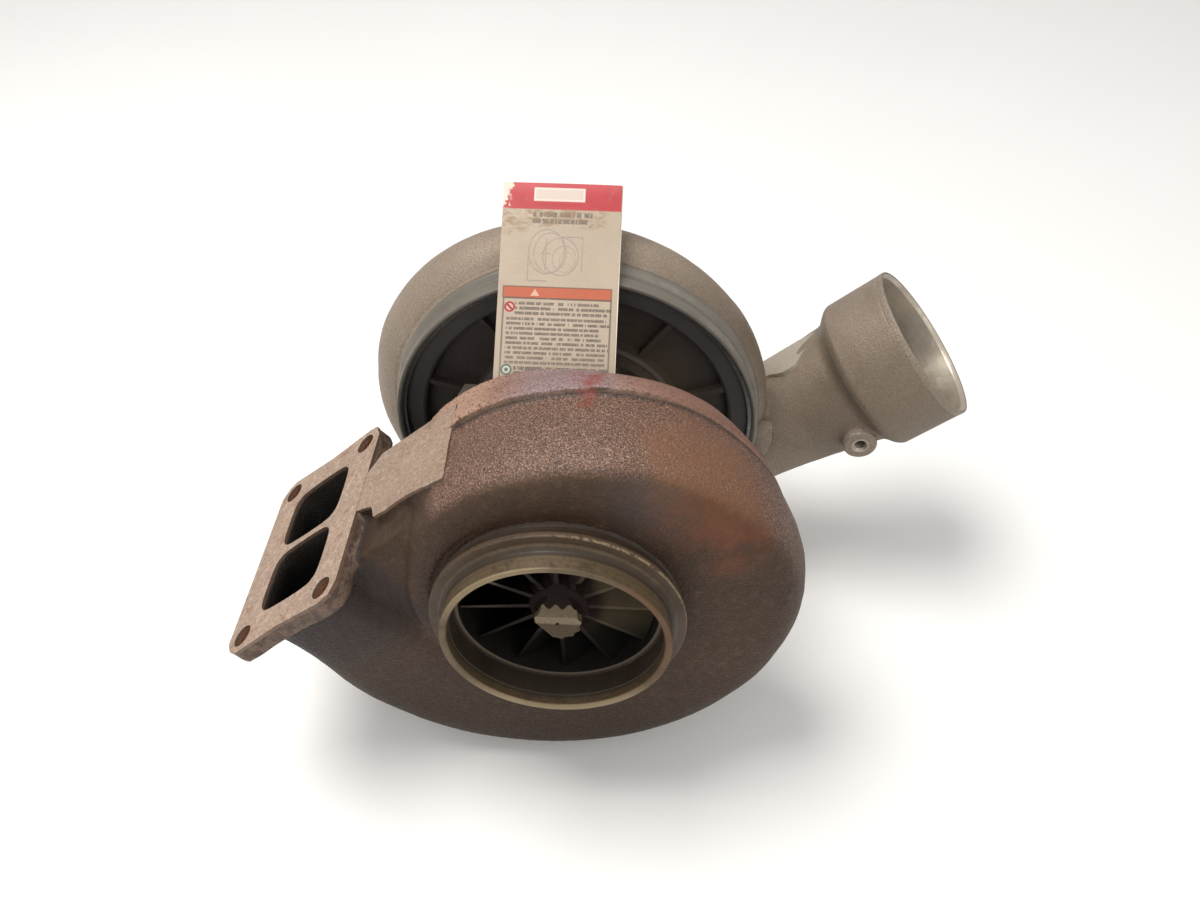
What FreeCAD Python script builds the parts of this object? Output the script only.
import FreeCAD, Part
import math
import os
import Sketcher
from FreeCAD import Vector

# Twin-entry turbocharger for a large diesel engine.
# Frame: origin at the centre of the turbine outlet's front face, +Y along the
# shaft towards the compressor, +Z up, +X to the right seen from the turbine end.
# "Front" is the -Y side and "rear" or "back" the +Y side of a piece.
# All lengths are millimetres, all angles degrees.

os.makedirs("parts", exist_ok=True)
doc = FreeCAD.newDocument("turbocharger")
sheet = doc.addObject("Spreadsheet::Sheet", "dims")

# alias, value, note
TABLE = [
    # --- turbine housing
    ("outlet_bore", 59.5, "bore radius of the outlet pilot tube"),
    ("outlet_tube", 63.5, "outside radius of the outlet pilot tube (5 in pipe)"),
    ("outlet_ledge", 20.8, "depth of the ledge where the shroud bore starts"),
    ("shroud_bore", 56.3, "shroud bore radius over the wheel exducer"),
    ("lip_radius", 71.5, "radius of the outlet band-clamp lip"),
    ("lip_front", 14.8, "front of the clamp lip"),
    ("lip_back", 18.0, "back of the clamp lip"),
    ("lip_neck", 67.0, "radius behind the clamp lip"),
    ("boss_radius", 85.0, "radius of the raised boss around the outlet"),
    ("boss_face", 27.6, "front face of that boss"),
    ("scroll_front", 26.6, "front of the volute body"),
    ("scroll_back", 116.0, "back of the volute body"),
    ("scroll_inner", 60.0, "inner radius used for the volute body"),
    ("scroll_wall", 8.0, "casting wall of the volute"),
    ("divider_mid", 73.8, "plane of the wall between the two gas passages"),
    ("divider_half", 2.5, "half thickness of that wall"),
    ("divider_tip", 71.0, "radius where the divider stops"),
    ("nozzle_front", 61.0, "front wall of the annular nozzle"),
    ("nozzle_back", 87.0, "back wall of the annular nozzle"),
    ("nozzle_radius", 66.0, "radius of the space around the wheel inducer"),
    ("seat_radius", 70.0, "bore radius for the bearing housing spigot"),
    ("seat_face", 92.0, "step that the heat shield rim rests on"),
    ("rear_bore", 80.0, "bore radius for the bearing housing flange"),
    ("rear_step", 104.0, "step that the bearing housing flange rests on"),
    ("rear_face", 117.0, "machined rear face of the turbine housing"),
    ("rear_rim", 99.0, "radius of the machined rear ring"),
    ("rim_step", 4.6, "height of the raised band round the rear of the volute"),
    ("rim_front", 87.5, "front edge of that band"),
    ("inlet_tilt", 49.2, "angle of the inlet axis above -X"),
    ("inlet_face", 100.1, "distance of the inlet flange face from the shaft axis"),
    ("inlet_offset", 119.7, "offset of the inlet flange centre from the shaft axis"),
    ("flange_thick", 12.5, "inlet flange thickness"),
    ("flange_short", 98.0, "inlet flange size across the ports"),
    ("flange_long", 138.0, "inlet flange size along the shaft"),
    ("flange_hole_short", 72.0, "hole spacing across the ports"),
    ("flange_hole_long", 115.0, "hole spacing along the shaft"),
    ("flange_hole", 7.0, "inlet flange hole radius"),
    ("port_short", 59.0, "gas port size across"),
    ("port_long", 45.0, "gas port size along the shaft"),
    ("port_pitch", 49.6, "distance between the two gas port centres"),
    ("stud_circle", 89.5, "pitch radius of the clamp plate bolts"),
    ("stud_hole", 4.3, "radius of the clamp bolt holes in the turbine housing"),
    ("pin_height", 75.2, "height of the locating pin above the shaft axis"),
    # --- turbine wheel and shaft
    ("tw_exducer", 55.7, "turbine wheel exducer tip radius"),
    ("tw_inducer", 62.0, "turbine wheel inducer tip radius"),
    ("tw_nose", 13.6, "corner radius of the twelve-point nose"),
    ("tw_nose_front", 14.0, "front of the nose"),
    ("tw_trailing", 25.0, "plane of the blade trailing edges"),
    ("tw_disc_back", 88.6, "back face of the turbine wheel disc"),
    ("tw_blades", 12, "number of turbine blades"),
    ("shaft_boss", 17.4, "seal boss radius"),
    ("shaft_start", 93.0, "weld plane between wheel and shaft"),
    ("journal", 11.0, "shaft journal radius"),
    ("shaft_nose", 8.0, "radius of the compressor end of the shaft"),
    ("shaft_step", 163.4, "shoulder that the thrust collar rests on"),
    ("shaft_end", 266.0, "compressor end of the shaft"),
    # --- bearings
    ("bearing_gap", 0.035, "running clearance on radius at the shaft"),
    ("bearing_outer", 16.4, "outside radius of the floating bearings"),
    ("bearing_bore", 16.46, "bore radius in the bearing housing"),
    ("bearing_len", 14.0, "length of a floating bearing"),
    ("turbine_bearing", 112.0, "front of the turbine end bearing"),
    ("compressor_bearing", 147.0, "front of the compressor end bearing"),
    ("clip_thick", 1.4, "thickness of the bearing retaining rings"),
    ("clip_outer", 18.0, "groove radius of the bearing retaining rings"),
    # --- bearing housing
    ("bh_spigot", 69.9, "spigot radius at the turbine end"),
    ("bh_front", 93.2, "front face of the bearing housing"),
    ("bh_flange", 79.8, "flange radius at the turbine end"),
    ("bh_waist", 46.0, "waist radius"),
    ("bh_rear_flange", 66.0, "flange radius at the compressor end"),
    ("bh_rear", 178.0, "rear face of the bearing housing"),
    ("recess_radius", 47.5, "recess radius for the thrust parts"),
    ("recess_floor", 166.0, "floor of that recess"),
    ("thrust_circle", 29.5, "pitch radius of the thrust bearing screws"),
    ("bolt_circle", 57.5, "pitch radius of the backplate bolts"),
    ("oil_in_z", 64.0, "height of the oil inlet face above the shaft"),
    ("oil_mid", 146.0, "plane of the oil inlet"),
    ("oil_in_pitch", 38.0, "oil inlet bolt spacing"),
    ("drain_z", 72.0, "distance of the oil drain face below the shaft"),
    ("drain_pitch", 52.0, "oil drain bolt spacing"),
    # --- compressor side
    ("bp_radius", 115.3, "backplate outside radius"),
    ("bp_face", 192.0, "diffuser face of the backplate"),
    ("cw_radius", 64.0, "compressor wheel outside radius"),
    ("cw_inducer", 46.0, "compressor wheel inducer radius"),
    ("cw_start", 192.8, "turbine side face of the compressor wheel"),
    ("cw_end", 250.0, "air inlet end of the compressor wheel hub"),
    ("cover_bore", 115.6, "bore radius of the compressor cover at the turbine side"),
    ("cover_front", 174.0, "front (turbine side) face of the cover ring"),
    ("cover_ring", 119.2, "outside radius of the cover ring"),
    ("cover_wall", 4.8, "casting wall of the compressor cover"),
    ("diffuser_wall", 199.5, "cover side of the diffuser channel"),
    ("inlet_spigot", 76.2, "outside radius of the air inlet (6 in hose)"),
    ("inlet_end", 302.0, "end face of the air inlet"),
    ("outlet_angle", 41.0, "angle of the compressor outlet above +X"),
    ("outlet_offset", 124.0, "offset of the outlet axis from the shaft axis"),
    ("outlet_mid", 232.2, "plane of the outlet axis"),
    ("socket_bore", 50.8, "outlet socket bore radius (4 in hose)"),
    ("socket_outer", 54.2, "outlet socket outside radius"),
    ("socket_start", 152.0, "start of the socket along the outlet axis"),
    ("socket_end", 199.5, "end of the socket along the outlet axis"),
    ("tap_hole", 3.4, "boost tap hole radius (M8)"),
    # --- hang tag
    ("tag_width", 70.0, "width of the hang tag"),
    ("tag_length", 119.6, "length of the hang tag"),
    ("tag_thick", 0.9, "thickness of the folded tag"),
    ("tag_slope", 40.0, "slope of the tag above the shaft axis"),
    ("tag_x", -9.0, "middle of the tag across the shaft"),
    ("tie_y", 124.7, "centre of the tie ring along the shaft"),
    ("tie_z", 78.7, "centre of the tie ring above the shaft"),
    ("tie_radius", 6.0, "radius of the tie ring"),
    ("tie_wire", 0.7, "wire radius of the tie ring"),
]


class Size:
    """A length together with the spreadsheet expression that gives it."""

    def __init__(self, value, formula):
        self.value = float(value)
        self.formula = formula

    def __add__(self, other):
        return Size(self.value + number(other), "(%s + %s)" % (self.formula, text(other)))

    def __sub__(self, other):
        return Size(self.value - number(other), "(%s - %s)" % (self.formula, text(other)))

    def __rmul__(self, factor):
        return Size(factor * self.value, "(%s * %s)" % (text(factor), self.formula))


def number(item):
    return item.value if isinstance(item, Size) else float(item)


def text(item):
    return item.formula if isinstance(item, Size) else repr(float(item))


class Names:
    """Holds the driving dimensions as attributes."""


dim = Names()       # plain numbers, for lofts and booleans
size = Names()      # Size values, for sketches bound to the sheet
for row, (alias, value, note) in enumerate(TABLE, start=1):
    sheet.set("A%d" % row, note)
    sheet.set("B%d" % row, str(value))
    sheet.setAlias("B%d" % row, alias)
    setattr(dim, alias, float(value))
    setattr(size, alias, Size(value, "dims." + alias))
doc.recompute()

MADE = []      # the pieces, in the order they are made


# ------------------------------------------------------- sketches and features
def origin_item(body, role):
    for feature in body.Origin.OriginFeatures:
        if feature.Role == role:
            return feature
    raise RuntimeError(role)


def new_body(label):
    body = doc.addObject("PartDesign::Body", label)
    body.Label = label
    MADE.append(body)
    return body


def pin(sketch, geometry, point, x, y):
    """Fix one sketch point at (x, y), bound to the sheet where it is a Size."""
    for kind, target, axis in (("DistanceX", x, -2), ("DistanceY", y, -1)):
        if abs(number(target)) < 1e-9:
            sketch.addConstraint(Sketcher.Constraint("PointOnObject", geometry, point, axis))
            continue
        index = sketch.addConstraint(
            Sketcher.Constraint(kind, -1, 1, geometry, point, number(target)))
        if isinstance(target, Size):
            sketch.setExpression("Constraints[%d]" % index, target.formula)


def add_polygon(sketch, points):
    """A closed chain of lines with every corner dimensioned."""
    count = len(points)
    for i in range(count):
        begin, end = points[i], points[(i + 1) % count]
        sketch.addGeometry(Part.LineSegment(Vector(number(begin[0]), number(begin[1]), 0),
                                            Vector(number(end[0]), number(end[1]), 0)), False)
    for i in range(count):
        sketch.addConstraint(Sketcher.Constraint("Coincident", i, 2, (i + 1) % count, 1))
    for i in range(count):
        pin(sketch, i, 1, points[i][0], points[i][1])


def add_circle(sketch, index, x, y, radius):
    """Circle number index of a sketch that holds only circles."""
    sketch.addGeometry(Part.Circle(Vector(number(x), number(y), 0), Vector(0, 0, 1), radius),
                       False)
    sketch.addConstraint(Sketcher.Constraint("Radius", index, radius))
    pin(sketch, index, 3, x, y)


def new_sketch(body, name, role, offset=None):
    """Sketch on an origin plane; an offset moves an XZ sketch towards +Y."""
    sketch = body.newObject("Sketcher::SketchObject", name)
    sketch.AttachmentSupport = [(origin_item(body, role), "")]
    sketch.MapMode = "FlatFace"
    if offset is not None:
        sketch.AttachmentOffset = FreeCAD.Placement(Vector(0, 0, -offset.value),
                                                    FreeCAD.Rotation())
        sketch.setExpression("AttachmentOffset.Base.z", "0 - " + offset.formula)
    return sketch


def turned(label, points):
    """A turned piece: half section in (radius, y), revolved round the shaft axis."""
    body = new_body(label)
    sketch = new_sketch(body, label + "_profile", "XY_Plane")
    add_polygon(sketch, points)
    revolution = body.newObject("PartDesign::Revolution", label + "_turned")
    revolution.Profile = sketch
    revolution.ReferenceAxis = (origin_item(body, "Y_Axis"), [""])
    revolution.Angle = 360
    body.Tip = revolution
    return body


def through_pocket(body, name, sketch):
    pocket = body.newObject("PartDesign::Pocket", name)
    pocket.Profile = sketch
    pocket.Type = "ThroughAll"
    pocket.Midplane = True
    body.Tip = pocket
    return pocket


def shaped(label, shape):
    """A piece whose shape is made with lofts and booleans."""
    piece = doc.addObject("Part::Feature", label)
    piece.Label = label
    piece.Shape = shape
    piece.Placement = FreeCAD.Placement()
    MADE.append(piece)


# ------------------------------------------------------------- geometry tools
X_DIR = Vector(1, 0, 0)
Y_DIR = Vector(0, 1, 0)
Z_DIR = Vector(0, 0, 1)


def radial(radius, y, degrees):
    """Point at a radius and an angle above +X round the shaft."""
    angle = math.radians(degrees)
    return Vector(radius * math.cos(angle), y, radius * math.sin(angle))


def lobe(count, squareness):
    """Points of a unit superellipse; squareness 2 gives a circle."""
    def bulge(part):
        return math.copysign(abs(part) ** (2.0 / squareness), part)

    turns = [2 * math.pi * k / count for k in range(count)]
    return [(bulge(math.cos(turn)), bulge(math.sin(turn))) for turn in turns]


def closed_wire(points):
    curve = Part.BSplineCurve()
    curve.interpolate(Points=points, PeriodicFlag=True,
                      Parameters=[float(k) for k in range(len(points) + 1)])
    return Part.Wire([curve.toShape()])


def closed_polygon(points):
    return Part.makePolygon(points + [points[0]])


def loft(wires, ruled=False):
    solid = Part.makeLoft(wires, True, ruled)
    if solid.Volume < 0:
        solid.reverse()
    return solid


def lathe(points):
    """Solid of revolution round the shaft axis from (radius, y) corners."""
    wire = closed_polygon([Vector(radius, y, 0) for radius, y in points])
    return Part.Face(wire).revolve(Vector(0, 0, 0), Y_DIR, 360)


def rectangle(inner, outer, front, back):
    """Half section of a plain ring, as (radius, y) corners."""
    return [(inner, front), (outer, front), (outer, back), (inner, back)]


def prism(points, direction):
    return Part.Face(closed_polygon(points)).extrude(direction)


def hexagon(corner_radius, y, height, turn=0):
    points = [radial(corner_radius, y, 60 * k + turn) for k in range(6)]
    return prism(points, Y_DIR * height)


def rod(centre, axis, radius, length):
    return Part.makeCylinder(radius, length, centre, axis)


def block(corner, dir_1, dir_2, dir_3, size_1, size_2, size_3):
    """Box from a corner, three unit directions and three lengths."""
    matrix = FreeCAD.Matrix(dir_1.x, dir_2.x, dir_3.x, corner.x,
                            dir_1.y, dir_2.y, dir_3.y, corner.y,
                            dir_1.z, dir_2.z, dir_3.z, corner.z, 0, 0, 0, 1)
    box = Part.makeBox(size_1, size_2, size_3)
    box.Placement = FreeCAD.Placement(matrix)
    return box


def level_box(corner, size_x, size_y, size_z):
    return block(Vector(*corner), X_DIR, Y_DIR, Z_DIR, size_x, size_y, size_z)


def cut_all(shape, tools):
    for tool in tools:
        shape = shape.cut(tool)
    return shape


def largest(shape):
    return max(shape.Solids, key=lambda solid: solid.Volume)


def lookup(pairs, x):
    """Smooth (cubic) interpolation in a table of (x, y) pairs."""
    if x <= pairs[0][0]:
        return pairs[0][1]
    if x >= pairs[-1][0]:
        return pairs[-1][1]

    def slope(j):
        before, after = max(j - 1, 0), min(j + 1, len(pairs) - 1)
        return (pairs[after][1] - pairs[before][1]) / (pairs[after][0] - pairs[before][0])

    i = max(k for k in range(len(pairs) - 1) if pairs[k][0] <= x)
    x0, y0 = pairs[i]
    x1, y1 = pairs[i + 1]
    width = x1 - x0
    u = (x - x0) / width
    return ((2 * u ** 3 - 3 * u ** 2 + 1) * y0
            + (u ** 3 - 2 * u ** 2 + u) * width * slope(i)
            + (-2 * u ** 3 + 3 * u ** 2) * y1
            + (u ** 3 - u ** 2) * width * slope(i + 1))


# ------------------------------------------------------- places used repeatedly
STUD_ANGLES = (-50, -17, 17, 50, 130, 163, 197, 230)        # clamp plate bolts
BOLT_ANGLES = [22.5 + 45 * k for k in range(8)]             # backplate bolts
SCREW_ANGLES = (30, 150, 270)                               # thrust bearing screws
# front faces of the rings on each side of the two bearings
CLIP_FRONTS = (dim.turbine_bearing - 2.2, dim.turbine_bearing + dim.bearing_len + 0.8,
               dim.compressor_bearing - 2.2, dim.compressor_bearing + dim.bearing_len + 0.8)

# ------------------------------------------------------------ turbine housing
tilt = math.radians(dim.inlet_tilt)
INLET_OUT = Vector(-math.cos(tilt), 0, math.sin(tilt))      # inlet flange normal
INLET_SIDE = Vector(math.sin(tilt), 0, math.cos(tilt))      # flange's short side
# angle of the section where the straight duct meets the scroll
duct_angle = math.degrees(math.atan2(-INLET_SIDE.z, -INLET_SIDE.x))
SCROLL_ANGLES = [duct_angle] + list(range(-120, 181, 20))

# (angle, outer radius of the volute)
OUTER = [(-139.2, 179.0), (-120, 175.0), (-90, 165.5), (-60, 153.0), (-30, 144.5),
         (0, 140.5), (23, 133.0), (45, 124.5), (60, 118.5), (75, 111.5), (90, 105.5),
         (110, 101.0), (131, 98.0), (150, 95.0), (170, 90.0), (190, 85.0)]
# (angle, fall of the outer wall towards the rear)
TAPER = [(-139.2, 8.0), (-60, 10.0), (0, 14.0), (30, 15.0), (60, 10.0), (90, 5.0), (190, 3.0)]
TAPER_START = 60        # plane behind which the outer wall falls
TAPER_POWER = 1.3
FLANGE_BASE = dim.inlet_face - dim.flange_thick
TONGUE_BASE = 52        # height where the pad and the neck over the tongue start

# (along INLET_SIDE, y)
TONGUE_PAD = [(-66.5, 101), (-60, 107), (4.0, 106.5), (4.6, 93.8), (5.2, 68.7), (6.6, 49.0),
              (6.4, 45.4), (-12.2, 48.8), (-28.5, 51.3), (-40, 49.9), (-50.4, 50.3),
              (-56, 61.6), (-66.5, 65)]
TONGUE_NECK = [(-92, 97.5), (-72, 97.0), (-60, 95.0), (-56, 62.0), (-70, 66.0), (-92, 62)]


def volute_section(low, high, front, back, squareness, place, taper=0.0, count=24):
    """Rounded section from radius low to high; place turns (radius, y) into a point."""
    radius_mid, radius_half = 0.5 * (low + high), 0.5 * (high - low)
    y_mid, y_half = 0.5 * (front + back), 0.5 * (back - front)
    points = []
    for across, along in lobe(count, squareness):
        radius, y = radius_mid + radius_half * across, y_mid + y_half * along
        if taper and radius > radius_mid and y > TAPER_START:
            radius -= (taper * ((y - TAPER_START) / (back - TAPER_START)) ** TAPER_POWER
                       * (radius - radius_mid) / radius_half)
        points.append(place(radius, y))
    return closed_wire(points)


def on_duct(height):
    """Point placer in the duct plane at a height along the inlet normal."""
    return lambda radius, y: INLET_OUT * height + INLET_SIDE * (-radius) + Y_DIR * y


def on_angle(angle):
    return lambda radius, y: radial(radius, y, angle)


def volute():
    middle, offset = dim.divider_mid, dim.inlet_offset
    # height, reach inward and outward from the duct axis, reach to the front
    # and to the back of the divider, squareness, taper
    duct = [(92, 39.5, 41.5, 55.0, 55.0, 3.6, 0.0),
            (66, 41.0, 44.0, 53.0, 52.0, 3.5, 0.0),
            (36, 48.0, 51.0, 50.0, 47.5, 3.5, 4.0)]
    wires = []
    for height, inward, outward, forward, backward, squareness, taper in duct:
        wires.append(volute_section(offset - inward, offset + outward, middle - forward,
                                    middle + backward, squareness, on_duct(height), taper))
    for angle in SCROLL_ANGLES:
        wires.append(volute_section(dim.scroll_inner, lookup(OUTER, angle), dim.scroll_front,
                                    dim.scroll_back, 3.4, on_angle(angle),
                                    lookup(TAPER, angle)))
    return loft(wires)


def rear_band():
    """Raised band round the rear of the volute, fading out on the right."""
    wires = []
    front = dim.rim_front
    for angle in range(14, 143, 4):
        rise = dim.rim_step * min(1.0, max(0.05, (angle - 12) / 34.0))
        top = lookup(OUTER, angle)
        fall = lookup(TAPER, angle)

        def crest(y):
            reach = max(0.0, y - TAPER_START) / (dim.scroll_back - TAPER_START)
            return top - fall * reach ** TAPER_POWER

        points = [(crest(front) - 14, front), (crest(front) + rise, front),
                  (crest(front + 9) + rise, front + 9),
                  (crest(front + 17) + rise - 1.6, front + 17),
                  (crest(front + 23) + rise - 6.0, front + 23.4),
                  (crest(front + 23) - 14, front + 24.5)]
        wires.append(closed_polygon([radial(radius, y, angle) for radius, y in points]))
    return loft(wires, True)


def housing_core():
    """Outlet tube, clamp lip, boss and machined rear ring."""
    lip, neck, boss = dim.lip_radius, dim.lip_neck, dim.boss_radius
    return lathe([(40, 0), (dim.outlet_tube, 0), (dim.outlet_tube, 11.5),
                  (66.5, dim.lip_front), (lip - 0.7, dim.lip_front),
                  (lip, dim.lip_front + 0.7), (lip, dim.lip_back),
                  (neck, dim.lip_back + 4.8), (neck, dim.boss_face - 1.5),
                  (neck + 2, dim.boss_face), (boss - 2, dim.boss_face),
                  (boss + 1.5, dim.boss_face + 3), (boss + 1.5, 60), (dim.rear_rim, 100),
                  (dim.rear_rim, dim.rear_face), (40, dim.rear_face)])


def flange_point(across, along, height):
    """Point measured from the centre of the inlet flange."""
    return (INLET_OUT * height + INLET_SIDE * (-dim.inlet_offset + across)
            + Y_DIR * (dim.divider_mid + along))


def inlet_flange():
    """Inlet flange with a slight waist between the bolt lands."""
    short, long = dim.flange_short / 2, dim.flange_long / 2
    corner, waist = 11.0, 2.4
    outline = [(short, long - corner), (short - 0.45 * corner, long - 0.1 * corner),
               (short - corner, long), (0, long - waist), (-short + corner, long),
               (-short + 0.4 * corner, long - 0.35 * corner), (-short, long - corner),
               (-short + 0.4, 0), (-short, -long + corner),
               (-short + 0.4 * corner, -long + 0.35 * corner), (-short + corner, -long),
               (0, -long + waist), (short - corner, -long),
               (short - 0.3 * corner, -long + 0.25 * corner), (short, -long + corner)]
    return prism([flange_point(across, along, FLANGE_BASE) for across, along in outline],
                 INLET_OUT * dim.flange_thick)


def tongue_block(outline, top):
    points = [INLET_OUT * TONGUE_BASE + INLET_SIDE * across + Y_DIR * y for across, y in outline]
    return prism(points, INLET_OUT * (top - TONGUE_BASE))


def gas_passage(front, back, port_mid, taper_share):
    """Channel from one flange port round the wheel."""
    offset, half_port = dim.inlet_offset, dim.port_short / 2
    port_front, port_back = port_mid - dim.port_long / 2, port_mid + dim.port_long / 2
    wires = []
    for height in (dim.inlet_face + 6, dim.inlet_face - 14):
        wires.append(volute_section(offset - half_port, offset + half_port, port_front,
                                    port_back, 4.0, on_duct(height), 0, 16))
    for height, blend in ((60, 0.35), (30, 0.7)):
        wires.append(volute_section(offset - half_port - 22 * blend,
                                    offset + half_port + 16 * blend,
                                    port_front + (front - port_front) * blend,
                                    port_back + (back - port_back) * blend,
                                    3.4, on_duct(height), 0, 16))
    for angle in SCROLL_ANGLES:
        top = lookup(OUTER, angle) - dim.scroll_wall
        if angle > 120:
            top -= (angle - 120) * 0.12
        wires.append(volute_section(dim.nozzle_radius - 1.5, top, front, back, 3.2,
                                    on_angle(angle), taper_share * lookup(TAPER, angle), 16))
    return loft(wires)


def nozzle_space():
    """Annular nozzle on both sides of the divider tip."""
    middle, half, tip = dim.divider_mid, dim.divider_half, dim.divider_tip
    return lathe([(40, dim.nozzle_front), (tip + 3, dim.nozzle_front), (tip, middle - half),
                  (tip - 1.5, middle), (tip, middle + half), (tip + 3, dim.nozzle_back),
                  (40, dim.nozzle_back)])


def housing_bore():
    """Outlet, shroud, wheel space and the stepped seat at the rear."""
    outlet, shroud = dim.outlet_bore, dim.shroud_bore
    return lathe([(0, -5), (outlet + 1.0, -5), (outlet + 1.0, 0), (outlet, 1.0), (outlet, 7.0),
                  (outlet - 0.6, 7.6), (outlet - 0.6, dim.outlet_ledge),
                  (shroud, dim.outlet_ledge), (shroud, 46), (shroud + 0.9, 51),
                  (shroud + 2.6, 55.5), (shroud + 5.2, 59),
                  (dim.nozzle_radius, dim.nozzle_front), (dim.nozzle_radius, dim.seat_face),
                  (dim.seat_radius, dim.seat_face), (dim.seat_radius, dim.rear_step),
                  (dim.rear_bore, dim.rear_step), (dim.rear_bore, dim.rear_face + 5),
                  (0, dim.rear_face + 5)])


def turbine_housing():
    # web that joins the tongue to the inlet duct
    web = loft([volute_section(28, 112, 34, 111, 5.0, on_duct(height))
                for height in (-20, 20, 60, 92)])
    body = volute().multiFuse([rear_band(), housing_core(), inlet_flange(),
                               tongue_block(TONGUE_PAD, dim.inlet_face),
                               tongue_block(TONGUE_NECK, dim.inlet_face - 0.6), web])
    middle, half = dim.divider_mid, dim.divider_half
    tools = [housing_bore(),
             # trims everything behind the machined rear face
             lathe(rectangle(60, 100, dim.rear_face, 150)),
             nozzle_space(),
             gas_passage(dim.scroll_front + dim.scroll_wall + 1.0, middle - half,
                         middle - dim.port_pitch / 2, 0.0),
             gas_passage(middle + half, dim.scroll_back - dim.scroll_wall + 0.5,
                         middle + dim.port_pitch / 2, 0.8)]
    for side in (-1, 1):
        for end in (-1, 1):
            centre = flange_point(side * dim.flange_hole_short / 2,
                                  end * dim.flange_hole_long / 2, FLANGE_BASE - 30)
            tools.append(rod(centre, INLET_OUT, dim.flange_hole, 60))
    for angle in STUD_ANGLES:
        tools.append(rod(radial(dim.stud_circle, dim.rear_face - 14, angle), Y_DIR,
                         dim.stud_hole, 30))
    tools.append(rod(Vector(0, dim.rear_step - 6, dim.pin_height), Y_DIR, 2.0, 10))
    return largest(cut_all(body, tools))


shaped("turbine_housing", turbine_housing())


# -------------------------------------------------------------- turbine wheel
def blade(stations, phase, hub_thick, tip_thick):
    """Lofted blade. Each station holds hub (radius, y), tip (radius, y), the
    blade angle in degrees and, if it is not 1, a scale on the thickness.
    Thickness is measured round the wheel."""
    wires = []
    for hub, tip, angle, *rest in stations:
        scale = rest[0] if rest else 1.0
        corners = []
        for (radius, y), side, thick in ((hub, -1, hub_thick), (tip, -1, tip_thick),
                                         (tip, 1, tip_thick), (hub, 1, hub_thick)):
            half_width = math.degrees(side * scale * thick / (2.0 * radius))
            corners.append(radial(radius, y, phase + angle + half_width))
        wires.append(closed_polygon(corners))
    return loft(wires)


def turbine_stations():
    """The exducer part of each blade curves back against the rotation."""
    exducer, inducer = dim.tw_exducer, dim.tw_inducer
    # hub radius, hub y, tip radius, tip y
    rows = [(15.5, 26.5, exducer, dim.tw_trailing), (17.0, 32, exducer, 31.5),
            (18.5, 38, exducer, 38), (20.5, 45, exducer, 45), (23.5, 52, exducer + 0.8, 50.5),
            (27.5, 59, exducer + 2.5, 55.0), (33.0, 66, exducer + 4.8, 58.7),
            (41.0, 74, inducer - 0.2, 62.0), (50.0, 81.5, inducer, 72),
            (57.0, 86.5, inducer, 84.5)]
    sweep_start, sweep_rate = 62.0, 0.00074
    stations = []
    for hub_radius, hub_y, tip_radius, tip_y in rows:
        reach = max(0.0, sweep_start - 0.5 * (hub_y + tip_y))
        angle = -math.degrees(sweep_rate * reach * reach / 2.0)
        stations.append(((hub_radius, hub_y), (tip_radius, tip_y), angle))
    return stations


def balance_flats():
    """Two slanting boxes that take a flat each off the nose."""
    slope = math.radians(38)
    upper = block(Vector(-20, dim.tw_nose_front - 1.2, 5.0), X_DIR,
                  Vector(0, math.cos(slope), math.sin(slope)),
                  Vector(0, -math.sin(slope), math.cos(slope)), 40, 20, 20)
    slope = math.radians(40)
    outward = Vector(-0.80, 0, -0.60)
    side = Vector(-0.60, 0, 0.80)
    slant = Y_DIR * math.cos(slope) + outward * math.sin(slope)
    normal = outward * math.cos(slope) - Y_DIR * math.sin(slope)
    corner = Vector(0, dim.tw_nose_front - 1.0, 0) + outward * 8.6 - side * 20
    return upper, block(corner, side, slant, normal, 40, 16, 20)


def turbine_wheel():
    disc_back, weld = dim.tw_disc_back, dim.shaft_start
    hub = lathe([(0, 18), (12.5, 18), (14.0, 23), (16.5, 26), (18.2, 32), (19.8, 38),
                 (21.8, 45), (24.8, 52), (28.8, 59), (34.3, 66), (42.3, 74), (51.2, 81.5),
                 (59.6, 86.2), (60.2, 87.2), (59.6, disc_back), (26, disc_back + 0.6),
                 (20, 91.0), (20, weld), (0, weld)])
    # twelve-point nose: two hexagons turned by thirty degrees
    nose = hexagon(dim.tw_nose, dim.tw_nose_front, 8.5, 8)
    nose = nose.fuse(hexagon(dim.tw_nose, dim.tw_nose_front, 8.5, 38))
    stations = turbine_stations()
    blades = [blade(stations, 360.0 / dim.tw_blades * k, 3.0, 1.5)
              for k in range(int(dim.tw_blades))]
    centre_drilling = rod(Vector(0, dim.tw_nose_front - 1, 0), Y_DIR, 1.1, 6)
    wheel = hub.multiFuse([nose] + blades)
    return largest(cut_all(wheel, (centre_drilling,) + balance_flats()))


shaped("turbine_wheel", turbine_wheel())

# ------------------------------------------------------------------ rotor shaft
# seal boss with its ring groove, two journals with a relieved middle and a
# reduced compressor end
boss, journal, nose = size.shaft_boss, size.journal, size.shaft_nose
turned("rotor_shaft", [
    (0, size.shaft_start), (boss, size.shaft_start), (boss, 97.6), (boss - 2.4, 97.6),
    (boss - 2.4, 99.7), (boss, 99.7), (boss, 106.6),
    (journal, 107.4), (journal, 128.0), (journal - 0.6, 129.0),
    (journal - 0.6, 145.0), (journal, 146.0), (journal, size.shaft_step),
    (nose, size.shaft_step), (nose, size.shaft_end - 1.2),
    (nose - 1.2, size.shaft_end), (0, size.shaft_end)])

turned("turbine_piston_ring", rectangle(boss - 2.0, boss + 0.25, 97.8, 99.5))


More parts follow.
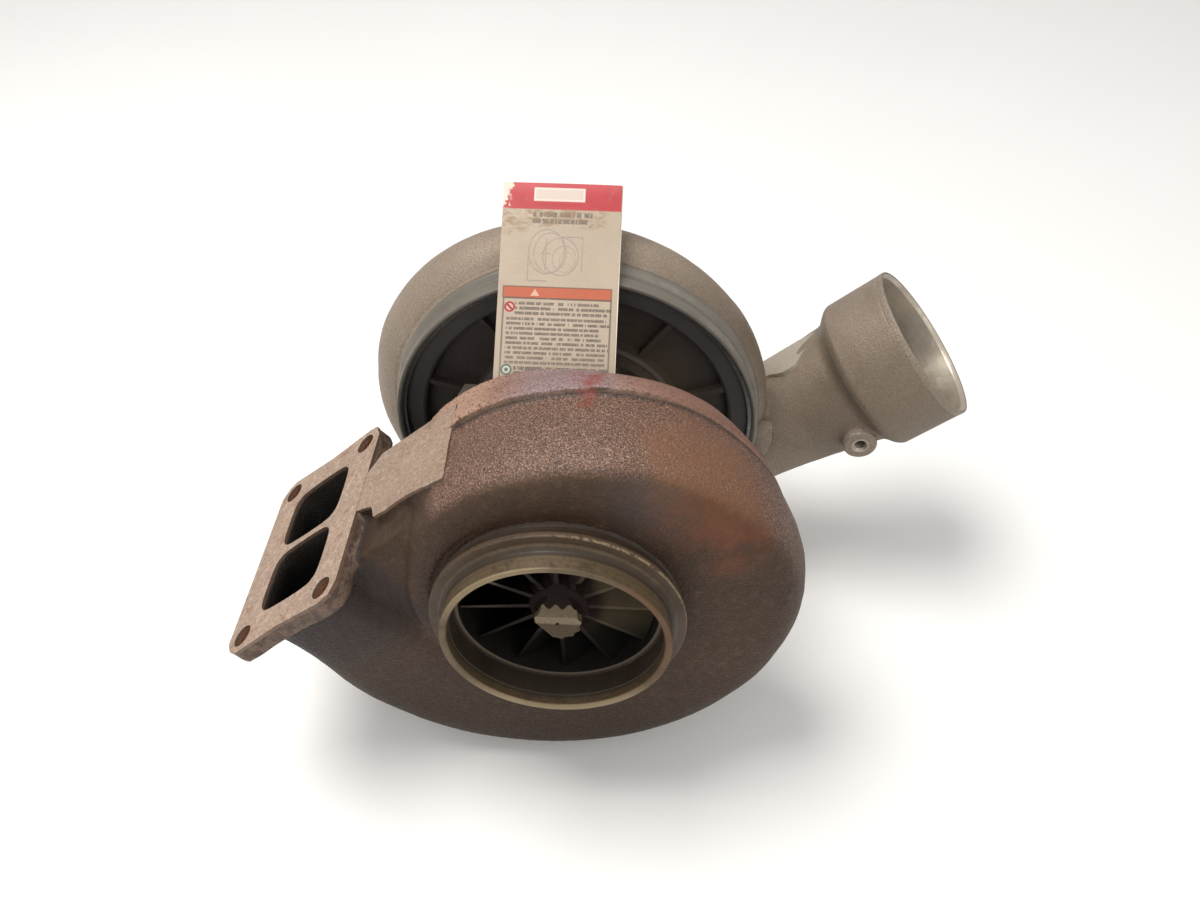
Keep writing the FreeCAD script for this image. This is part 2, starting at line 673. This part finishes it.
# -------------------------------------------------------------------- bearings
def floating_bearing(label, front):
    """Chamfered ring with an oil groove round it and radial oil holes."""
    inner = size.journal + size.bearing_gap
    outer = size.bearing_outer
    middle = front + 0.5 * size.bearing_len
    back = front + size.bearing_len
    body = turned(label, [
        (inner, front + 0.5), (inner + 0.5, front), (outer - 0.5, front), (outer, front + 0.5),
        (outer, middle - 2.0), (outer - 1.2, middle - 1.4), (outer - 1.2, middle + 1.4),
        (outer, middle + 2.0), (outer, back - 0.5), (outer - 0.5, back), (inner + 0.5, back),
        (inner, back - 0.5)])
    sketch = new_sketch(body, label + "_hole_sketch", "XY_Plane")
    add_circle(sketch, 0, 0, middle, 1.3)
    hole = through_pocket(body, label + "_hole", sketch)
    doc.recompute()
    pattern = body.newObject("PartDesign::PolarPattern", label + "_holes")
    pattern.Originals = [hole]
    pattern.Axis = (origin_item(body, "Y_Axis"), [""])
    pattern.Angle = 360
    pattern.Occurrences = 3
    body.Tip = pattern


floating_bearing("turbine_end_bearing", size.turbine_bearing)
floating_bearing("compressor_end_bearing", size.compressor_bearing)


def retaining_ring(front):
    """Ring with a gap at the bottom."""
    ring = lathe(rectangle(12.4, dim.clip_outer - 0.05, front, front + dim.clip_thick))
    return ring.cut(level_box((-2.5, front - 1, -22), 5, 4, 12))


shaped("bearing_retaining_rings",
       Part.makeCompound([retaining_ring(front) for front in CLIP_FRONTS]))

# ---------------------------------------------------------------- thrust parts
shaft_fit = size.shaft_nose + 0.02      # bore of the parts on the shaft's thin end
floor = size.recess_floor
turned("thrust_collar", [
    (shaft_fit, size.shaft_step), (21, size.shaft_step), (21, floor - 0.05),
    (12.5, floor - 0.05), (12.5, floor + 5.1), (shaft_fit, floor + 5.1)])


def thrust_bearing():
    body = turned("thrust_bearing", rectangle(12.58, 36, floor, floor + 5.0))
    sketch = new_sketch(body, "thrust_bearing_holes_sketch", "XZ_Plane", floor)
    for k, angle in enumerate(SCREW_ANGLES):
        centre = radial(dim.thrust_circle, 0, angle)
        add_circle(sketch, k, centre.x, centre.z, 2.55)
    through_pocket(body, "thrust_bearing_holes", sketch)


thrust_bearing()

turned("oil_slinger", [
    (shaft_fit, floor + 5.1), (21, floor + 5.1), (23, floor + 7.4), (21, floor + 8.4),
    (14, floor + 8.4), (14, 180.2), (12, 180.2), (12, 182.3), (14, 182.3),
    (14, size.cw_start - 0.1), (shaft_fit, size.cw_start - 0.1)])
turned("compressor_piston_ring", rectangle(12.3, 14.3, 180.4, 182.1))
turned("oil_baffle", [
    (24.5, 175.0), (26, 174.4), (40, 174.4), (46.9, 172.4), (46.9, 173.4), (40.4, 175.4),
    (24.5, 175.8)])
turned("oil_seal_plate", [
    (14.34, 176.4), (47.4, 176.4), (47.4, 177.0), (45.4, 177.0), (45.4, 177.95),
    (30.0, 177.95), (30.0, 186.0), (14.34, 186.0)])
turned("seal_plate_o_ring", rectangle(45.45, 47.35, 177.05, 177.9))


def socket_screw(angle):
    """Round-head screw with a blind socket; the shank runs towards -Y."""
    under_head = dim.recess_floor + 5.0
    head_height, shank_length = 3.2, 12.0

    def at(y):
        return radial(dim.thrust_circle, y, angle)

    head = rod(at(under_head), Y_DIR, 4.0, head_height)
    head = head.cut(rod(at(under_head + head_height - 2.0), Y_DIR, 1.6, 3.0))
    shank = rod(at(under_head - shank_length), Y_DIR, 2.45, shank_length)
    return head.fuse(shank).removeSplitter()


shaped("thrust_bearing_screws",
       Part.makeCompound([socket_screw(angle) for angle in SCREW_ANGLES]))

# ------------------------------------------------------------ bearing housing
DRAIN_Y = dim.oil_mid - 3.0


def rounded_pad(corner, size_x, size_y, size_z, fillet):
    """Box with its four upright edges rounded."""
    pad = level_box(corner, size_x, size_y, size_z)
    return pad.makeFillet(fillet, [edge for edge in pad.Edges
                                   if abs(edge.Vertexes[0].Z - edge.Vertexes[-1].Z) > 5])


def bearing_housing_body():
    waist = dim.bh_waist
    outer = lathe([(20, dim.bh_front), (dim.bh_spigot, dim.bh_front),
                   (dim.bh_spigot, dim.rear_step), (dim.bh_flange, dim.rear_step),
                   (dim.bh_flange, dim.rear_face), (64, dim.rear_face), (58, 122), (50, 127),
                   (waist, 133), (waist, 158), (49, 163), (50.5, 168),
                   (dim.bh_rear_flange, 168), (dim.bh_rear_flange, dim.bh_rear),
                   (20, dim.bh_rear)])
    oil_pad = rounded_pad((-29, dim.oil_mid - 13, 30), 58, 26, dim.oil_in_z - 30, 9.0)
    drain_pad = rounded_pad((-38, dim.oil_mid - 21, -dim.drain_z), 76, 36,
                            dim.drain_z - 20, 11.0)
    # lifting lug, as (x from its middle, z)
    lug_outline = [(-17, 36), (-8, 69), (-5, 75.4), (5, 75.4), (8, 69), (17, 36)]
    lug = prism([Vector(dim.tag_x + x, dim.tie_y - 3.0, z) for x, z in lug_outline],
                Y_DIR * 6.0)
    return outer.multiFuse([oil_pad, drain_pad, lug])


def shaft_tunnel():
    """Seal bore, bearing bore with four ring grooves, and the thrust recess."""
    bore, seal = dim.bearing_bore, dim.shaft_boss + 0.3
    collar_face = dim.shaft_step - 0.6
    grooves = []
    for front in CLIP_FRONTS:
        grooves += [(bore, front - 0.03), (dim.clip_outer, front - 0.03),
                    (dim.clip_outer, front + dim.clip_thick + 0.03),
                    (bore, front + dim.clip_thick + 0.03)]
    return lathe([(0, 90), (seal, 90), (seal, 106.9), (bore, 106.9)] + grooves +
                 [(bore, collar_face), (22.0, collar_face), (22.0, dim.recess_floor),
                  (dim.recess_radius, dim.recess_floor), (dim.recess_radius, 190), (0, 190)])


def oil_cuts():
    """Drain chamber under the bearings, drain bore, feed and its two branches."""
    chamber = lathe([(25, 103), (38, 106), (38, 150), (25, 158)])
    chamber = chamber.common(level_box((-60, 95, -80), 120, 80, 62))
    cuts = [chamber,
            rod(Vector(0, DRAIN_Y, -dim.drain_z - 5), Z_DIR, 13.0, 50),
            # opening from the bearing bore down into the chamber
            level_box((-7, 129, -34), 14, 15, 34),
            rod(Vector(0, dim.oil_mid, dim.oil_in_z + 5), Vector(0, 0, -1), 6.0, 26),
            rod(Vector(0, dim.oil_mid, 46), Vector(0, 0, -1), 3.0, 22)]
    for bearing in (dim.turbine_bearing, dim.compressor_bearing):
        path = Vector(0, bearing + 7 - dim.oil_mid, -26)
        length = path.Length
        cuts.append(rod(Vector(0, dim.oil_mid, 42), path.normalize(), 2.2, length + 4))
    return cuts


def bolt_cuts():
    cuts = []
    for side in (-1, 1):
        cuts.append(rod(Vector(side * dim.oil_in_pitch / 2, dim.oil_mid, dim.oil_in_z + 2),
                        Vector(0, 0, -1), 3.4, 16))
        cuts.append(rod(Vector(side * dim.drain_pitch / 2, DRAIN_Y, -dim.drain_z - 2),
                        Z_DIR, 4.25, 18))
    # eye of the lifting lug
    cuts.append(rod(Vector(dim.tag_x, 118, dim.tie_z - dim.tie_radius - 1.0), Y_DIR, 2.9, 14))
    for angle in BOLT_ANGLES:
        cuts.append(rod(radial(dim.bolt_circle, 160, angle), Y_DIR, 4.2, 30))
    for angle in SCREW_ANGLES:
        cuts.append(rod(radial(dim.thrust_circle, dim.recess_floor - 13.0, angle),
                        Y_DIR, 2.5, 14))
    # locating pin hole
    cuts.append(rod(Vector(0, dim.rear_step - 2, dim.pin_height), Y_DIR, 2.0, 8))
    return cuts


shaped("bearing_housing",
       largest(cut_all(bearing_housing_body(), [shaft_tunnel()] + oil_cuts() + bolt_cuts())))


def locating_pin():
    body = new_body("locating_pin")
    sketch = new_sketch(body, "locating_pin_sketch", "XZ_Plane", size.rear_step - 5.5)
    add_circle(sketch, 0, 0, size.pin_height, 1.97)
    pad = body.newObject("PartDesign::Pad", "locating_pin_pad")
    pad.Profile = sketch
    pad.Length = 11.0
    pad.Reversed = True
    body.Tip = pad


locating_pin()

turned("heat_shield", [
    (23, 92.2), (23, 91.2), (52, 90.4), (60, 90.4), (63, 92.05), (69.6, 92.05),
    (69.6, size.bh_front), (62.4, size.bh_front), (59.4, 91.5), (52, 91.5), (26, 92.3),
    (25, 92.3)])

# ------------------------------------------------------ clamp plates and bolts
PLATE_THICK = 5.0


def clamp_plate(way):
    """Half ring with a round land at each bolt; way is +1 for the +X half."""
    ring = lathe(rectangle(72.5, dim.stud_circle, dim.rear_face, dim.rear_face + PLATE_THICK))
    keep = level_box((19 if way > 0 else -169, dim.rear_face - 1, -150), 150, 8, 300)
    for angle in STUD_ANGLES:
        ring = ring.fuse(rod(radial(dim.stud_circle, dim.rear_face, angle), Y_DIR, 7.6,
                             PLATE_THICK))
    holes = [rod(radial(dim.stud_circle, dim.rear_face - 2, angle), Y_DIR, 4.6, 12)
             for angle in STUD_ANGLES if way * math.cos(math.radians(angle)) > 0]
    return cut_all(ring.removeSplitter().common(keep), holes)


shaped("turbine_clamp_plate_right", clamp_plate(1))
shaped("turbine_clamp_plate_left", clamp_plate(-1))


def hex_bolts(circle, angles, under_head, head_height, across, shank_radius, length, way):
    """Ring of flange-head bolts; way is +1 when the head lies towards +Y."""
    bolts = []
    axis = Vector(0, way, 0)
    straight = head_height - across * 0.33      # head height below its cone
    for angle in angles:
        centre = radial(circle, under_head, angle)
        corners = [centre + radial(across / math.sqrt(3), 0, 60 * k) for k in range(6)]
        head = prism(corners, axis * head_height)
        cone = Part.makeCone(across * 0.98, across * 0.50, across * 0.48,
                             centre + axis * straight, axis)
        head = head.common(rod(centre, axis, across, straight).fuse(cone))
        collar = rod(centre, axis, across * 0.60, 1.6)
        shank = rod(centre, axis * -1, shank_radius, length)
        bolts.append(head.fuse(collar).fuse(shank).removeSplitter())
    return Part.makeCompound(bolts)


shaped("turbine_clamp_bolts",
       hex_bolts(dim.stud_circle, STUD_ANGLES, under_head=dim.rear_face + PLATE_THICK,
                 head_height=6.5, across=12.0, shank_radius=4.2, length=17.0, way=1))
shaped("backplate_bolts",
       hex_bolts(dim.bolt_circle, BOLT_ANGLES, under_head=168.0, head_height=6.0,
                 across=11.0, shank_radius=3.95, length=18.5, way=-1))


# -------------------------------------------------------- compressor backplate
def compressor_backplate():
    """Ribbed disc with an O-ring groove in its rim."""
    rim, front = dim.bp_radius, dim.bh_rear
    plate = lathe([(30.1, front), (67, front), (69, front + 2), (70.5, 186.5), (99, 187.5),
                   (101, 181), (102.5, 180), (rim - 0.6, 180), (rim, 180.6), (rim, 184.2),
                   (rim - 2.6, 184.2), (rim - 2.6, 187.6), (rim, 187.6), (rim, dim.bp_face),
                   (30.1, dim.bp_face)])
    ribs = []
    for k in range(10):
        rib = Part.makeBox(34, 6.0, 3.6, Vector(68, 182.2, -1.8))
        rib.rotate(Vector(0, 0, 0), Y_DIR, -(18 + 36 * k))
        ribs.append(rib)
    holes = [rod(radial(dim.bolt_circle, front - 2, angle), Y_DIR, 4.0, 11.5)
             for angle in BOLT_ANGLES]
    return largest(cut_all(plate.multiFuse(ribs), holes))


shaped("compressor_backplate", compressor_backplate())
turned("backplate_o_ring",
       rectangle(size.bp_radius - 2.55, size.bp_radius + 0.25, 184.4, 187.4))

# snap ring with a gap at the bottom
snap_ring = lathe(rectangle(113.2, 117.3, 177.2, 179.8))
shaped("cover_retaining_ring", snap_ring.cut(level_box((-6, 175, -125), 12, 8, 20)))

# ----------------------------------------------------------- compressor wheel
# hub (radius, y), tip (radius, y), blade angle, thickness scale
COMPRESSOR_STATIONS = [
    ((14.2, 240), (dim.cw_inducer, 241.5), 46.0, 0.7),
    ((15.8, 234), (dim.cw_inducer, 235.5), 31.0),
    ((18.2, 226), (dim.cw_inducer, 228.5), 18.5),
    ((22.0, 217), (46.6, 221.5), 9.0),
    ((27.0, 209), (48.2, 214), 3.5),
    ((33.0, 203), (50.6, 208.2), 0.0),
    ((42.0, 198.0), (54.8, 203.6), -4.0),
    ((53.0, 195.0), (59.5, 201.0), -11.0),
    ((63.6, 193.6), (63.8, 199.3), -19.0)]


def compressor_wheel():
    bore, rim, start = shaft_fit.value, dim.cw_radius, dim.cw_start
    hub = lathe([(bore, start), (50, start), (rim, start + 0.6), (rim, start + 2.2),
                 (52, 196.6), (42, 199.5), (33, 205), (26, 213), (20.5, 224), (17, 236),
                 (15, dim.cw_end), (bore, dim.cw_end)])
    # six full blades, then six splitters that start further from the air inlet
    blades = [blade(COMPRESSOR_STATIONS[skip:], 60 * k + turn, 2.4, 1.2)
              for skip, turn in ((0, 0), (2, 30)) for k in range(6)]
    return largest(hub.multiFuse(blades))


shaped("compressor_wheel", compressor_wheel())


def compressor_locknut():
    """Hexagon with a flange."""
    start = dim.cw_end
    nut = hexagon(13.5, start + 3, 9)
    nut = nut.common(lathe([(0, start), (13.2, start), (13.2, start + 10.5),
                            (11.6, start + 12), (0, start + 12)]))
    nut = nut.fuse(lathe([(0, start), (14.0, start), (14.0, start + 2.2), (12.0, start + 4),
                          (0, start + 4)]))
    return nut.cut(rod(Vector(0, start - 1, 0), Y_DIR, shaft_fit.value, 20)).removeSplitter()


shaped("compressor_locknut", compressor_locknut())

# ----------------------------------------------------------- compressor cover
outlet_turn = math.radians(dim.outlet_angle)
OUTLET_OUT = Vector(math.cos(outlet_turn), 0, math.sin(outlet_turn))     # outlet axis
OUTLET_SIDE = Vector(math.sin(outlet_turn), 0, -math.cos(outlet_turn))   # shaft to that axis
OUTLET_BASE = OUTLET_SIDE * dim.outlet_offset + Y_DIR * dim.outlet_mid
SCROLL_END = dim.outlet_angle - 90 + 360
# (angle, outermost radius of the scroll)
CROWN = [(-30, 126.0), (0, 127.5), (30, 127.5), (60, 128.5), (90, 131.0), (120, 135.0),
         (150, 138.5), (180, 141.0), (210, 144.0), (240, 147.5), (270, 150.5), (290, 152.0),
         (311, 153.0)]
# (angle, outside radius of the scroll tube)
TUBE = [(-30, 12.0), (0, 13.6), (60, 17.6), (120, 23.0), (180, 28.4), (240, 34.0),
        (290, 38.8), (311, 40.0)]
# straight run to the socket: distance along the outlet axis, outside radius,
# shift away from the shaft
OUTLET_RUN = [(38, 39.4, -9.6), (80, 39.2, -5.6), (118, 42.0, -1.8),
              (dim.socket_start + 3, 47.2, 0.0)]


def on_outlet(distance):
    return OUTLET_BASE + OUTLET_OUT * distance


def cover_scroll_part(wall, first, last, count, run):
    """Scroll tube between two angles, drawn in by wall, and an optional straight run."""
    wires = []
    for k in range(count + 1):
        angle = first + (last - first) * k / count
        outside = lookup(TUBE, angle)
        radius_mid = lookup(CROWN, angle) - outside
        y_mid = 197.0 + (outside - dim.cover_wall)
        radius = outside - wall
        wires.append(closed_wire([radial(radius_mid + radius * across,
                                         y_mid + radius * along, angle)
                                  for across, along in lobe(12, 2.0)]))
    for distance, outside, shift in run:
        radius = outside - wall
        wires.append(closed_wire([on_outlet(distance) + OUTLET_SIDE * (shift + radius * across)
                                  + Y_DIR * (radius * along)
                                  for across, along in lobe(12, 2.0)]))
    return loft(wires)


def cover_scroll(wall):
    return [cover_scroll_part(wall, -26, 170, 10, ()),
            cover_scroll_part(wall, 170, SCROLL_END, 8, OUTLET_RUN)]


def cover_shell():
    ring, front = dim.cover_ring, dim.cover_front
    spigot, end = dim.inlet_spigot, dim.inlet_end
    return lathe([(60, 192.5), (dim.cover_bore - 4, 186), (dim.cover_bore - 4, front),
                  (ring - 0.8, front), (ring, front + 0.8), (ring, 182.6),
                  (ring - 1.3, 184.0), (ring - 1.3, 187.0), (ring + 2.0, 189.4),
                  (ring + 2.3, 192.2), (ring + 1.4, 194.5), (118, 199), (100, 206), (86, 212),
                  (76, 224), (70.5, 238), (70.5, 258), (79.0, 264), (79.0, 270),
                  (spigot, 271.5), (spigot, end - 1.0), (spigot - 1.0, end), (40, end),
                  (40, 206)])


def air_inlet_bore():
    """Bell mouth and shroud over the compressor wheel."""
    wheel, end = dim.cw_radius + 1, dim.inlet_end
    return lathe([(0, 194), (wheel, 194), (wheel, 200.4), (60.2, 201.6), (55.6, 204.2),
                  (51.4, 208.8), (49.0, 214.4), (47.4, 221.8), (46.7, 229), (46.7, 246),
                  (47.6, 252), (52, 262), (58, 274), (66.5, 286), (70.5, end - 2),
                  (71.5, end + 3), (0, end + 3)])


def diffuser_channel():
    outer, wall = dim.cover_bore - 3.6, dim.diffuser_wall
    return lathe([(40, 186), (outer, 186), (outer, 197.4), (108, 201.2), (96, wall),
                  (40, wall)])


def backplate_seat():
    """Bore for the backplate with a groove for its retaining ring."""
    bore, front = dim.cover_bore, dim.cover_front
    return lathe([(0, 170), (bore + 1.2, 170), (bore + 1.2, front), (bore, front + 1.6),
                  (bore, 177.1), (117.4, 177.1), (117.4, 179.9), (bore, 179.9),
                  (bore, dim.bp_face), (0, dim.bp_face)])


def compressor_cover():
    start, end, bore = dim.socket_start, dim.socket_end, dim.socket_bore
    shoulder_length = 7.0
    shoulder = Part.makeCone(47.0, dim.socket_outer, shoulder_length,
                             on_outlet(start - shoulder_length + 2), OUTLET_OUT)
    socket = rod(on_outlet(start + 2), OUTLET_OUT, dim.socket_outer, end - start - 2)
    tap = Vector(190.5, 181.0, -13.0)       # front of the boost tap boss
    # small rectangular pad on the straight run
    pad_out = OUTLET_SIDE * -0.80 + Y_DIR * -0.60
    pad_side = OUTLET_OUT.cross(pad_out)
    pad_centre = on_outlet(106) + pad_out * 34.0
    pad = block(pad_centre - OUTLET_OUT * 16 - pad_side * 13, OUTLET_OUT, pad_side, pad_out,
                32, 26, 10.2)
    cover = cover_shell()
    for piece in cover_scroll(0.0) + [shoulder, socket, rod(tap, Y_DIR, 11.0, 24), pad]:
        cover = cover.fuse(piece)

    socket_bore = rod(on_outlet(start + 6), OUTLET_OUT, bore, 50)
    socket_bore = socket_bore.fuse(Part.makeCone(bore, bore + 1.4, 2.4, on_outlet(end - 1.4),
                                                 OUTLET_OUT))
    tap_hole = rod(tap - Y_DIR * 2, Y_DIR, dim.tap_hole, 15)
    tap_hole = tap_hole.fuse(Part.makeCone(5.4, dim.tap_hole, 2.2, tap - Y_DIR * 0.4, Y_DIR))
    tools = [backplate_seat(), diffuser_channel(), air_inlet_bore()]
    tools += cover_scroll(dim.cover_wall)
    tools += [rod(on_outlet(start - 2), OUTLET_OUT, 42.8, 14), socket_bore, tap_hole,
              rod(tap, Y_DIR, 2.0, 30)]
    return largest(cut_all(cover, tools))


shaped("compressor_cover", compressor_cover())

# ------------------------------------------------------------------- hang tag
slope = math.radians(dim.tag_slope)
turn_in = math.radians(1.5)                     # small turn of the tag in its own plane
TAG_OUT = Vector(0, -math.sin(slope), math.cos(slope))      # off its face
TAG_ACROSS = Vector(math.cos(turn_in), -math.sin(turn_in) * math.cos(slope),
                    -math.sin(turn_in) * math.sin(slope))
TAG_UP = TAG_OUT.cross(TAG_ACROSS)
TIE_CENTRE = Vector(dim.tag_x, dim.tie_y, dim.tie_z)
EYE = TIE_CENTRE + TAG_UP * dim.tie_radius      # centre of the tag's hole


def instruction_tag():
    foot = TIE_CENTRE + TAG_UP * 1.0            # middle of the tag's lower edge
    corner = foot - TAG_ACROSS * (dim.tag_width / 2) - TAG_OUT * (dim.tag_thick / 2)
    tag = block(corner, TAG_ACROSS, TAG_UP, TAG_OUT, dim.tag_width, dim.tag_length,
                dim.tag_thick)
    return tag.cut(rod(EYE - TAG_OUT * 3, TAG_OUT, 2.8, 6))


def tag_eyelet():
    """Short tube with a thin rim on each face of the tag."""
    half, rim, rim_thick = dim.tag_thick / 2, 4.0, 0.48
    under = EYE - TAG_OUT * (half + 0.5)
    eyelet = rod(under, TAG_OUT, 2.75, dim.tag_thick + 1.0)
    eyelet = eyelet.fuse(rod(under, TAG_OUT, rim, rim_thick))
    eyelet = eyelet.fuse(rod(EYE + TAG_OUT * (half + 0.02), TAG_OUT, rim, rim_thick))
    return eyelet.cut(rod(EYE - TAG_OUT * 3, TAG_OUT, 2.2, 6))


shaped("instruction_tag", instruction_tag())
shaped("tag_eyelet", tag_eyelet())

# wire ring through the eyelet and the lifting lug of the bearing housing
tie = doc.addObject("Part::Torus", "tag_tie")
tie.Label = "tag_tie"
tie.setExpression("Radius1", "dims.tie_radius")
tie.setExpression("Radius2", "dims.tie_wire")
tie.Placement = FreeCAD.Placement(TIE_CENTRE, FreeCAD.Rotation(Z_DIR, X_DIR))
MADE.append(tie)

# --------------------------------------------------------------------- export
doc.recompute()
bad = [(item.Name, item.State) for item in doc.Objects
       if any(word in item.State for word in ("Invalid", "Error"))]
for piece in MADE:
    shape = piece.Shape
    if shape.isNull() or not shape.isValid() or not shape.Solids:
        bad.append((piece.Label, "shape"))
if bad:
    raise RuntimeError("failed objects: %s" % bad)
for piece in MADE:
    piece.Shape.exportStep("parts/%s.step" % piece.Label)
